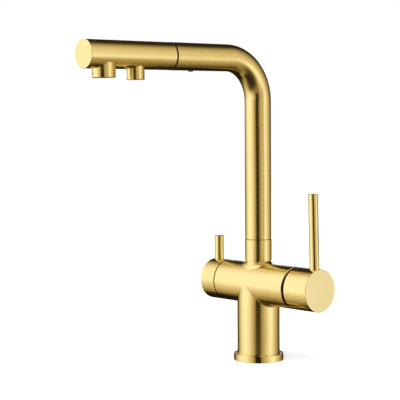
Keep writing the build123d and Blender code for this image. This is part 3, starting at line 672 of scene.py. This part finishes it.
class TAP_OT_valve_works(bpy.types.Operator):
    """Gives the brass, steel and ceramic parts inside the tap their materials"""

    bl_idname = "tap.valve_works"
    bl_label = "Valve works"

    def execute(self, context):
        look = context.scene.tap_finishes
        brass = grained_metal("turned brass", look.brass, 0.32, cross_line, depth=2.0)
        finish_parts(brass, "cartridge_stem", "cartridge_nut", "filter_valve_housing", "filter_spindle")
        fitting = grained_metal("turned brass spigot", look.brass, 0.32, column_line, depth=2.0)
        finish_parts(fitting, "spout_spigot", "hose_fitting")
        steel = grained_metal("machined steel", look.steel, 0.28, column_line, depth=1.5)
        finish_parts(steel, "spout_stop_screw", "hose_ferrule", "cartridge_pivot_pin", "mixer_set_screw")
        finish_parts(steel, "filter_spindle_circlip", "filter_set_screw")
        blackened = grained_metal("blackened steel", look.black_steel, 0.35, outlet_line(DOCKING_SCREW))
        finish_parts(blackened, "docking_screw")
        ceramic = moulded("sintered ceramic", look.ceramic, 0.22, speckle=0.03)
        finish_parts(ceramic, "ceramic_fixed_disc", "ceramic_moving_disc")
        finish_parts(ceramic, "filter_fixed_disc", "filter_moving_disc")
        return {"FINISHED"}


class TAP_OT_plastics_and_seals(bpy.types.Operator):
    """Gives the docking parts, waterways, cartridge body, inserts and seals their plastic and rubber"""

    bl_idname = "tap.plastics_and_seals"
    bl_label = "Plastics and seals"

    def execute(self, context):
        look = context.scene.tap_finishes
        black = moulded("black docking plastic", look.black_plastic, 0.45, speckle=0.15, gloss=0.15)
        finish_parts(black, "docking_sleeve", "docking_nose", "spout_slip_ring")
        white = moulded("white bearing plastic", look.white_plastic, 0.38, speckle=0.03)
        finish_parts(white, "head_waterway", "check_valve")
        finish_parts(white, "cartridge_housing", "disc_driver", "cartridge_rotor")
        grey = moulded("grey insert plastic", look.grey_plastic, 0.42, speckle=0.05)
        finish_parts(grey, "filtered_water_insert", "mixed_aerator_grid")
        rubber = moulded("black seal rubber", look.rubber, 0.55, speckle=0.2, pits=0.000008)
        finish_parts(rubber, "base_gasket", "spout_o_rings", "nose_o_ring", "cartridge_seals")
        finish_parts(rubber, "filter_valve_seal", "filter_spindle_o_ring")
        return {"FINISHED"}


class TAP_OT_temperature_marks(bpy.types.Operator):
    """Gives the hot and cold marks on the mixer knob their enamel"""

    bl_idname = "tap.temperature_marks"
    bl_label = "Temperature marks"

    def execute(self, context):
        look = context.scene.tap_finishes
        finish_parts(moulded("red enamel", look.red, 0.18, speckle=0.08), "red_mark")
        finish_parts(moulded("blue enamel", look.blue, 0.18, speckle=0.08), "blue_mark")
        return {"FINISHED"}


class TAP_OT_spout_tube(bpy.types.Operator):
    """Sweeps the spout's tube along the riser, the bend and the top run"""

    bl_idname = "tap.spout_tube"
    bl_label = "Spout tube"

    def execute(self, context):
        sizes, look = context.scene.tap_sizes, context.scene.tap_finishes
        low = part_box("spout_tube")[0]
        gold = grained_metal("brushed gold spout", look.gold, look.satin, route_line)
        route = route_curve([(0.0, 0.0, low.z), (0.0, 0.0, SPOUT_HEIGHT), on_run(TUBE_END)])
        values = {
            "Radius": sizes.tube_radius,
            "Bend radius": sizes.bend_radius,
            "Bend points": 64,
            "Sides": 128,
            "Material": gold,
        }
        tube = thicken(grow("spout_tube_brushed", route, tube_tree(), values), sizes.tube_wall)
        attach(tube, "spout")
        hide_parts("spout_tube")
        return {"FINISHED"}


class TAP_OT_double_hose(bpy.types.Operator):
    """Makes the braided hose and the filtered water tube in it, in the column, the spout and the head"""

    bl_idname = "tap.double_hose"
    bl_label = "Double hose"

    def execute(self, context):
        sizes, look = context.scene.tap_sizes, context.scene.tap_finishes
        wire = grained_metal("braid wire", look.braid, 0.34, column_line, depth=4.0)
        liner = moulded("black hose liner", look.rubber, 0.5, speckle=0.2)
        clear = moulded("filtered water tube", look.white_plastic, 0.25, speckle=0.03)
        tubes, braids = tube_tree(), braid_tree()
        # The hose is cut at a height where the spout turns on the body, and at a place early on the top run
        turn_height, half_cut = 0.1304, 0.0002
        run_cut = 0.0474
        stretch_from, stretch_to = 0.049, 0.112
        column = [Vector((0.0, 0.0, 0.016)), Vector((0.0, 0.0, turn_height - half_cut))]
        spout = [Vector((0.0, 0.0, turn_height + half_cut)), Vector((0.0, 0.0, SPOUT_HEIGHT)), on_run(0.047)]
        pulled, pulled_tube = ([on_run(run_cut), on_run(end)] for end in (0.126, 0.156))
        # The braids stop further from the cut, so that their ends don't touch when the spout turns
        back_off = Vector((0.0, 0.0, 0.0016))
        column_braid = [column[0], column[1] - back_off]
        spout_braid = [spout[0] + back_off, *spout[1:]]
        weave = 0.00045
        for stretch, body, place, braid_route, hose_route, tube_route, points in (
            (0.0, "tap_body", "in_column", column_braid, column, column, 160),
            (0.0, "spout", "in_spout", spout_braid, spout, spout, 300),
            (sizes.hose_travel, None, "pulled_out", pulled, pulled, pulled_tube, 820),
        ):
            values = {
                "Strands": sizes.strands,
                "Points": points,
                "Radius": sizes.hose_radius - 2.0 * weave,
                "Weave depth": weave,
                "Strand width": 0.0026,
                "Lay": sizes.braid_lay,
                "Stretch": stretch,
                "Stretch start": stretch_from - run_cut,
                "Stretch end": stretch_to - run_cut,
                "Bend radius": sizes.bend_radius,
                "Bend points": 64,
                "Material": wire,
            }
            braid = grow(f"braid_{place}", route_curve(braid_route), braids, values)
            pieces = [(braid, f"hose_{place}", "hose_braid")]
            liner_sizes = sizes.hose_radius - 3.0 * weave, sizes.hose_bore
            tube_sizes = sizes.inner_tube_radius, sizes.inner_tube_bore
            for name, (outer, inner), route, material, node, slot in (
                ("liner", liner_sizes, hose_route, liner, None, "black_rubber"),
                ("inner_tube", tube_sizes, tube_route, clear, f"filtered_tube_{place}", "clear_tube"),
            ):
                values = {
                    "Radius": outer,
                    "Bend radius": sizes.bend_radius,
                    "Bend points": 1 if stretch else 48,
                    "Sides": 32,
                    "Material": material,
                }
                data = route_curve(self.divided(route) if stretch else route)
                tube = thicken(grow(f"{name}_{place}", data, tubes, values), outer - inner)
                pieces.append((tube, node, slot))
            for piece, node, slot in pieces:
                if body:
                    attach(piece, body)
                else:
                    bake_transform(piece)
                if node:
                    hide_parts(node)
        return {"FINISHED"}

    @staticmethod
    def divided(route):
        """A straight route with more points on it, so that it can stretch unevenly."""
        start, end = route
        spans = 48
        return [start.lerp(end, step / spans) for step in range(spans + 1)]


class TAP_OT_threads(bpy.types.Operator):
    """Cuts the look of a thread into the shank hole and the ports under the column"""

    bl_idname = "tap.threads"
    bl_label = "Threads"

    def execute(self, context):
        look = context.scene.tap_finishes
        brass = grained_metal("threaded brass", look.brass, 0.36, column_line, depth=2.0)
        tree = thread_tree()
        # The ports go up from the ceiling inside the column, and their ridges stop just short of both ends
        ceiling, depth, short = 0.062, 0.009, 0.0002
        start, port_length = ceiling + short, depth - 2.0 * short
        supplies = [(0.0086, 0.0106, start), (0.0086, -0.0106, start)]
        small_ports = [(0.0136, 0.0, start), (-0.0125, 0.0, start), (-0.0080, 0.0115, start)]
        for name, radius, length, pitch, sides, places in (
            ("shank_thread_ridges", 0.0182, 0.0136, 0.0015, 96, [(0.0, 0.0, 0.0006)]),
            ("supply_thread_ridges", 0.0045, port_length, 0.001, 32, supplies),
            ("small_thread_ridges", 0.0035, port_length, 0.001, 28, small_ports),
        ):
            values = {"Radius": radius, "Length": length, "Pitch": pitch, "Sides": sides, "Material": brass}
            thread = grow(name, spots_mesh(places), tree, values)
            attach(thread, "tap_body")
        return {"FINISHED"}


class TAP_OT_outlet_honeycomb(bpy.types.Operator):
    """Fills the mixed water outlet with its honeycomb"""

    bl_idname = "tap.outlet_honeycomb"
    bl_label = "Outlet honeycomb"

    def execute(self, context):
        sizes, look = context.scene.tap_sizes, context.scene.tap_finishes
        grey = moulded("grey honeycomb plastic", look.grey_plastic, 0.40, speckle=0.05)
        radius, depth = 0.0083, 0.0018
        # How far under the top run's axis the outlet ends, and how far inside it the honeycomb lies
        outlet_end, inset = 0.0223, 0.0012
        values = {
            "Cell width": sizes.cell_width,
            "Wall": 0.00035,
            "Depth": depth,
            "Circle radius": radius - 0.6 * sizes.cell_width,
            "Cells across": math.ceil(2.0 * radius / sizes.cell_width),
            "Material": grey,
        }
        comb = grow("mixed_outlet_honeycomb", spots_mesh([(0.0, 0.0, 0.0)]), honeycomb_tree(), values)
        centre = on_run(FRONT_OUTLET) - RUN_UP * (outlet_end - inset - depth / 2.0)
        turn = Vector((0.0, 0.0, 1.0)).rotation_difference(RUN_UP).to_matrix().to_4x4()
        comb.data.transform(Matrix.Translation(centre) @ turn)
        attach(comb, "spray_head")
        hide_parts("mixed_aerator_grid")
        return {"FINISHED"}


# The tent's left and right cloths and the black flag in front: how far round from the camera to the right the
# middle of each stands, and how far each reaches from there
LEFT_CLOTH, LEFT_REACH = math.radians(-81.0), math.radians(71.0)
RIGHT_CLOTH, RIGHT_REACH = math.radians(68.0), math.radians(82.0)
FLAG, FLAG_REACH, FLAG_EDGE = math.radians(-4.5), math.radians(11.5), math.radians(15.0)
# How bright the tent is where no light falls on it, and how much red, green and blue it lacks there
UNLIT = 0.02
UNLIT_LACKS = (0.0, 0.25, 0.62)


def tent_colour(tree, level):
    """The tent's colour at this brightness: white at full brightness, and yellower where it's darker."""
    lack = maths(tree, "SUBTRACT", 1.0, maths(tree, "POWER", level, 2.5))
    tint = vectors(tree, "SUBTRACT", (1.0, 1.0, 1.0), lengthened(tree, UNLIT_LACKS, lack))
    return lengthened(tree, tint, level)


def tent_brightness(tree, front, right):
    """How bright the tent's cloth is, by how far round and how high it's seen from the tent's centre."""
    deg = math.radians
    ray = vectors(tree, "NORMALIZE", vectors(tree, "SUBTRACT", own_place(tree), tuple(TENT_CENTRE)))
    height = part_of(tree, ray, "Z")
    to_right, to_front = measure(tree, "DOT_PRODUCT", ray, right), measure(tree, "DOT_PRODUCT", ray, front)
    round_angle = maths(tree, "ARCTAN2", to_right, to_front)

    # Higher up the cloths stand further to the left, and low down they are narrower
    lean = spread(tree, height, -0.05, 0.12, 0.0, deg(8.0), smooth=True)
    lean = maths(tree, "ADD", lean, spread(tree, height, 0.1, 0.8, 0.0, deg(6.0)))
    turned = maths(tree, "MULTIPLY_ADD", round_angle, spread(tree, height, -0.7, 0.0, 1.10, 1.0), lean)

    # The left cloth fades the faster the further out it is, and the right one fades evenly
    from_left = maths(tree, "MULTIPLY_ADD", turned, 1.0 / LEFT_REACH, -LEFT_CLOTH / LEFT_REACH)
    on_left = maths(tree, "MULTIPLY_ADD", maths(tree, "MULTIPLY", from_left, from_left), -1.05, 1.05)
    from_right = maths(tree, "ABSOLUTE", maths(tree, "SUBTRACT", turned, RIGHT_CLOTH))
    level = maths(tree, "MAXIMUM", on_left, spread(tree, from_right, 0.0, RIGHT_REACH, 1.0, 0.0))
    from_middle = maths(tree, "ABSOLUTE", maths(tree, "SUBTRACT", turned, FLAG))
    level = maths(tree, "MULTIPLY", level, spread(tree, from_middle, FLAG_REACH, FLAG_EDGE, 0.0, 1.0))
    level = maths(tree, "MAXIMUM", level, UNLIT)

    # Above and below the black flag in front the cloth goes on
    over = spread(tree, height, 0.30, 0.50, 0.0, 0.5, smooth=True)
    under = spread(tree, height, -0.27, -0.31, 0.0, 0.5, smooth=True)
    from_flag = maths(tree, "ABSOLUTE", maths(tree, "ADD", round_angle, deg(9.0)))
    at_flag = spread(tree, from_flag, deg(16.0), deg(24.0), 1.0, 0.0)
    cloth = maths(tree, "MULTIPLY", at_flag, maths(tree, "MAXIMUM", over, under))
    level = maths(tree, "MAXIMUM", level, cloth)
    level = maths(tree, "MULTIPLY", level, spread(tree, height, -0.9, -0.15, 0.50, 1.0))

    # A dark strut stands in front of the right cloth
    strut = maths(tree, "COMPARE", turned, deg(47.0), deg(3.2))
    strut = maths(tree, "MULTIPLY", strut, spread(tree, height, -0.13, -0.09, 0.0, 0.7))
    level = maths(tree, "MULTIPLY", level, maths(tree, "SUBTRACT", 1.0, strut))

    # Low on the right the cloth is nearer, so it's brighter
    on_right = spread(tree, round_angle, 0.0, deg(30.0), 0.0, 0.11)
    low_down = spread(tree, height, -0.17, -0.06, 1.0, 0.0, smooth=True)
    level = maths(tree, "MULTIPLY", level, maths(tree, "MULTIPLY_ADD", on_right, low_down, 1.0))

    # Low in front, the table's edge is dark
    table = spread(tree, maths(tree, "ABSOLUTE", round_angle), deg(60.0), deg(100.0), 0.12, 1.0)
    table = blend_numbers(tree, spread(tree, height, -0.60, -0.30, 1.0, 0.0), 1.0, table)
    level = maths(tree, "MULTIPLY", level, table)

    # The roof is an even grey
    level = blend_numbers(tree, spread(tree, height, 0.85, 0.97, 0.0, 1.0, smooth=True), level, 0.45)

    # A low window straight behind the tap lights the flange's top
    behind = maths(tree, "GREATER_THAN", maths(tree, "ABSOLUTE", round_angle), deg(171.0))
    window = maths(tree, "MULTIPLY", behind, maths(tree, "COMPARE", height, 0.18, 0.045))
    return maths(tree, "MINIMUM", maths(tree, "MAXIMUM", level, window), 1.0)


class TAP_OT_studio(bpy.types.Operator):
    """Sets up the camera, the light tent, the lamp, the sky and the floor"""

    bl_idname = "tap.studio"
    bl_label = "Studio"

    def execute(self, context):
        scene, studio = context.scene, context.scene.tap_studio
        scene.view_settings.view_transform = "Standard"
        angle = studio.view_angle
        forward = Vector((-math.sin(angle), math.cos(angle), 0.0))
        right = Vector((math.cos(angle), math.sin(angle), 0.0))
        self.camera(scene, studio, forward, right)
        self.tent(studio, -forward, right)
        self.lamp(scene, forward, right)
        self.sky(scene)
        self.floor(studio)
        return {"FINISHED"}

    def camera(self, scene, studio, forward, right):
        """The camera, pitched and rolled as the studio's sizes say."""
        up = Vector((0.0, 0.0, 1.0))
        pitch, roll = studio.view_pitch, studio.view_roll
        look = forward * math.cos(pitch) - up * math.sin(pitch)
        above = forward * math.sin(pitch) + up * math.cos(pitch)
        side = right * math.cos(roll) - above * math.sin(roll)
        above = above * math.cos(roll) + right * math.sin(roll)
        place = -forward * studio.view_distance - right * studio.view_offset + up * studio.view_height
        data = bpy.data.cameras.new("camera")
        data.sensor_width = 36.0
        data.lens = studio.lens
        data.clip_start = 0.01
        camera = bpy.data.objects.new("camera", data)
        turn = Matrix((side, above, -look)).transposed().to_4x4()
        camera.matrix_world = Matrix.Translation(place) @ turn
        scene.collection.objects.link(camera)
        scene.camera = camera

    def tent(self, studio, front, right):
        """A tent of pale cloth with dark flags, which only the gloss on the tap shows."""
        bpy.ops.mesh.primitive_uv_sphere_add(segments=64, ring_count=32, radius=studio.tent_radius)
        tent = bpy.context.object
        tent.name = "light_tent"
        tent.data.transform(Matrix.Translation(TENT_CENTRE))
        for flag in ("camera", "diffuse", "transmission", "volume_scatter", "shadow"):
            setattr(tent, f"visible_{flag}", False)
        material = bpy.data.materials.new("tent cloth")
        tree = empty_nodes(material)
        cloth = tent_colour(tree, tent_brightness(tree, tuple(front), tuple(right)))
        light = made(tree, "ShaderNodeEmission", {"Color": cloth, "Strength": 1.13})
        add(tree, "ShaderNodeOutputMaterial", {"Surface": light})
        finish_with(material, tent)

    def lamp(self, scene, forward, right):
        """A wide soft lamp, high up to the front left, which doesn't show in the gloss."""
        data = bpy.data.lights.new("soft lamp", "AREA")
        data.shape = "DISK"
        data.size = 1.6
        data.energy = 26.0
        lamp = bpy.data.objects.new("soft_lamp", data)
        place = Vector((0.0, 0.0, 1.9)) - right * 0.8 - forward * 0.7
        tap_middle = Vector((0.0, -0.05, 0.15))
        aim = tap_middle - place
        lamp.matrix_world = Matrix.Translation(place) @ aim.to_track_quat("-Z", "Y").to_matrix().to_4x4()
        lamp.visible_glossy = False
        scene.collection.objects.link(lamp)

    def sky(self, scene):
        """A white background, which lights the tap a little less than it shows."""
        world = bpy.data.worlds.new("studio")
        tree = empty_nodes(world)
        strength = maths(tree, "MULTIPLY_ADD", background_rays(tree)[1], 0.15, 0.85)
        light = made(tree, "ShaderNodeBackground", {"Color": (1.0, 1.0, 1.0, 1.0), "Strength": strength})
        add(tree, "ShaderNodeOutputWorld", {"Surface": light})
        # The gloss sees the tent instead
        world.cycles_visibility.glossy = False
        scene.world = world

    def floor(self, studio):
        """A pale floor, which the gloss doesn't show."""
        bpy.ops.mesh.primitive_circle_add(vertices=96, radius=studio.floor_radius, fill_type="NGON")
        floor = bpy.context.object
        floor.name = "floor"
        floor.visible_glossy = False
        material = bpy.data.materials.new("pale floor")
        tree = empty_nodes(material)
        direct, seen = background_rays(tree)
        grain = ramp(tree, noise(tree, own_place(tree), 9.0), ((TONE_LOW, 0.80), (TONE_HIGH, 0.82)))
        matt = made(tree, "ShaderNodeBsdfDiffuse", {"Color": grain})
        glow = {"Color": (1.0, 1.0, 1.0, 1.0), "Strength": maths(tree, "MULTIPLY", seen, 0.36)}
        lit = made(tree, "ShaderNodeAddShader", {0: matt, 1: made(tree, "ShaderNodeEmission", glow)})
        # From under the worktop the floor isn't seen, so that the column's underside shows
        under = add(tree, "ShaderNodeNewGeometry").outputs["Backfacing"]
        clear = made(tree, "ShaderNodeBsdfTransparent")
        hidden = maths(tree, "MULTIPLY", under, direct)
        both = made(tree, "ShaderNodeMixShader", {0: hidden, 1: lit, 2: clear})
        add(tree, "ShaderNodeOutputMaterial", {"Surface": both})
        finish_with(material, floor)


# ---- panel and start

OPERATORS = (
    TAP_OT_studio,
    TAP_OT_brushed_parts,
    TAP_OT_polished_trim,
    TAP_OT_valve_works,
    TAP_OT_plastics_and_seals,
    TAP_OT_temperature_marks,
    TAP_OT_spout_tube,
    TAP_OT_double_hose,
    TAP_OT_threads,
    TAP_OT_outlet_honeycomb,
)


class TAP_PT_pieces(bpy.types.Panel):
    """Lists the tap's pieces and its studio"""

    bl_label = "Filtered water tap"
    bl_idname = "TAP_PT_pieces"
    bl_space_type = "VIEW_3D"
    bl_region_type = "UI"
    bl_category = "Tap"

    def draw(self, context):
        for operator in OPERATORS:
            self.layout.operator(operator.bl_idname)


GROUPS = (("tap_sizes", TapSizes), ("tap_finishes", TapFinishes), ("tap_studio", TapStudio))


def register():
    for name, group in GROUPS:
        bpy.utils.register_class(group)
        setattr(bpy.types.Scene, name, bpy.props.PointerProperty(type=group))
    for operator in OPERATORS:
        bpy.utils.register_class(operator)
    bpy.utils.register_class(TAP_PT_pieces)


def unregister():
    bpy.utils.unregister_class(TAP_PT_pieces)
    for operator in reversed(OPERATORS):
        bpy.utils.unregister_class(operator)
    for name, group in reversed(GROUPS):
        delattr(bpy.types.Scene, name)
        bpy.utils.unregister_class(group)


def main():
    register()
    for operator in OPERATORS:
        group, _, name = operator.bl_idname.partition(".")
        getattr(getattr(bpy.ops, group), name)()


if __name__ == "__main__":
    main()
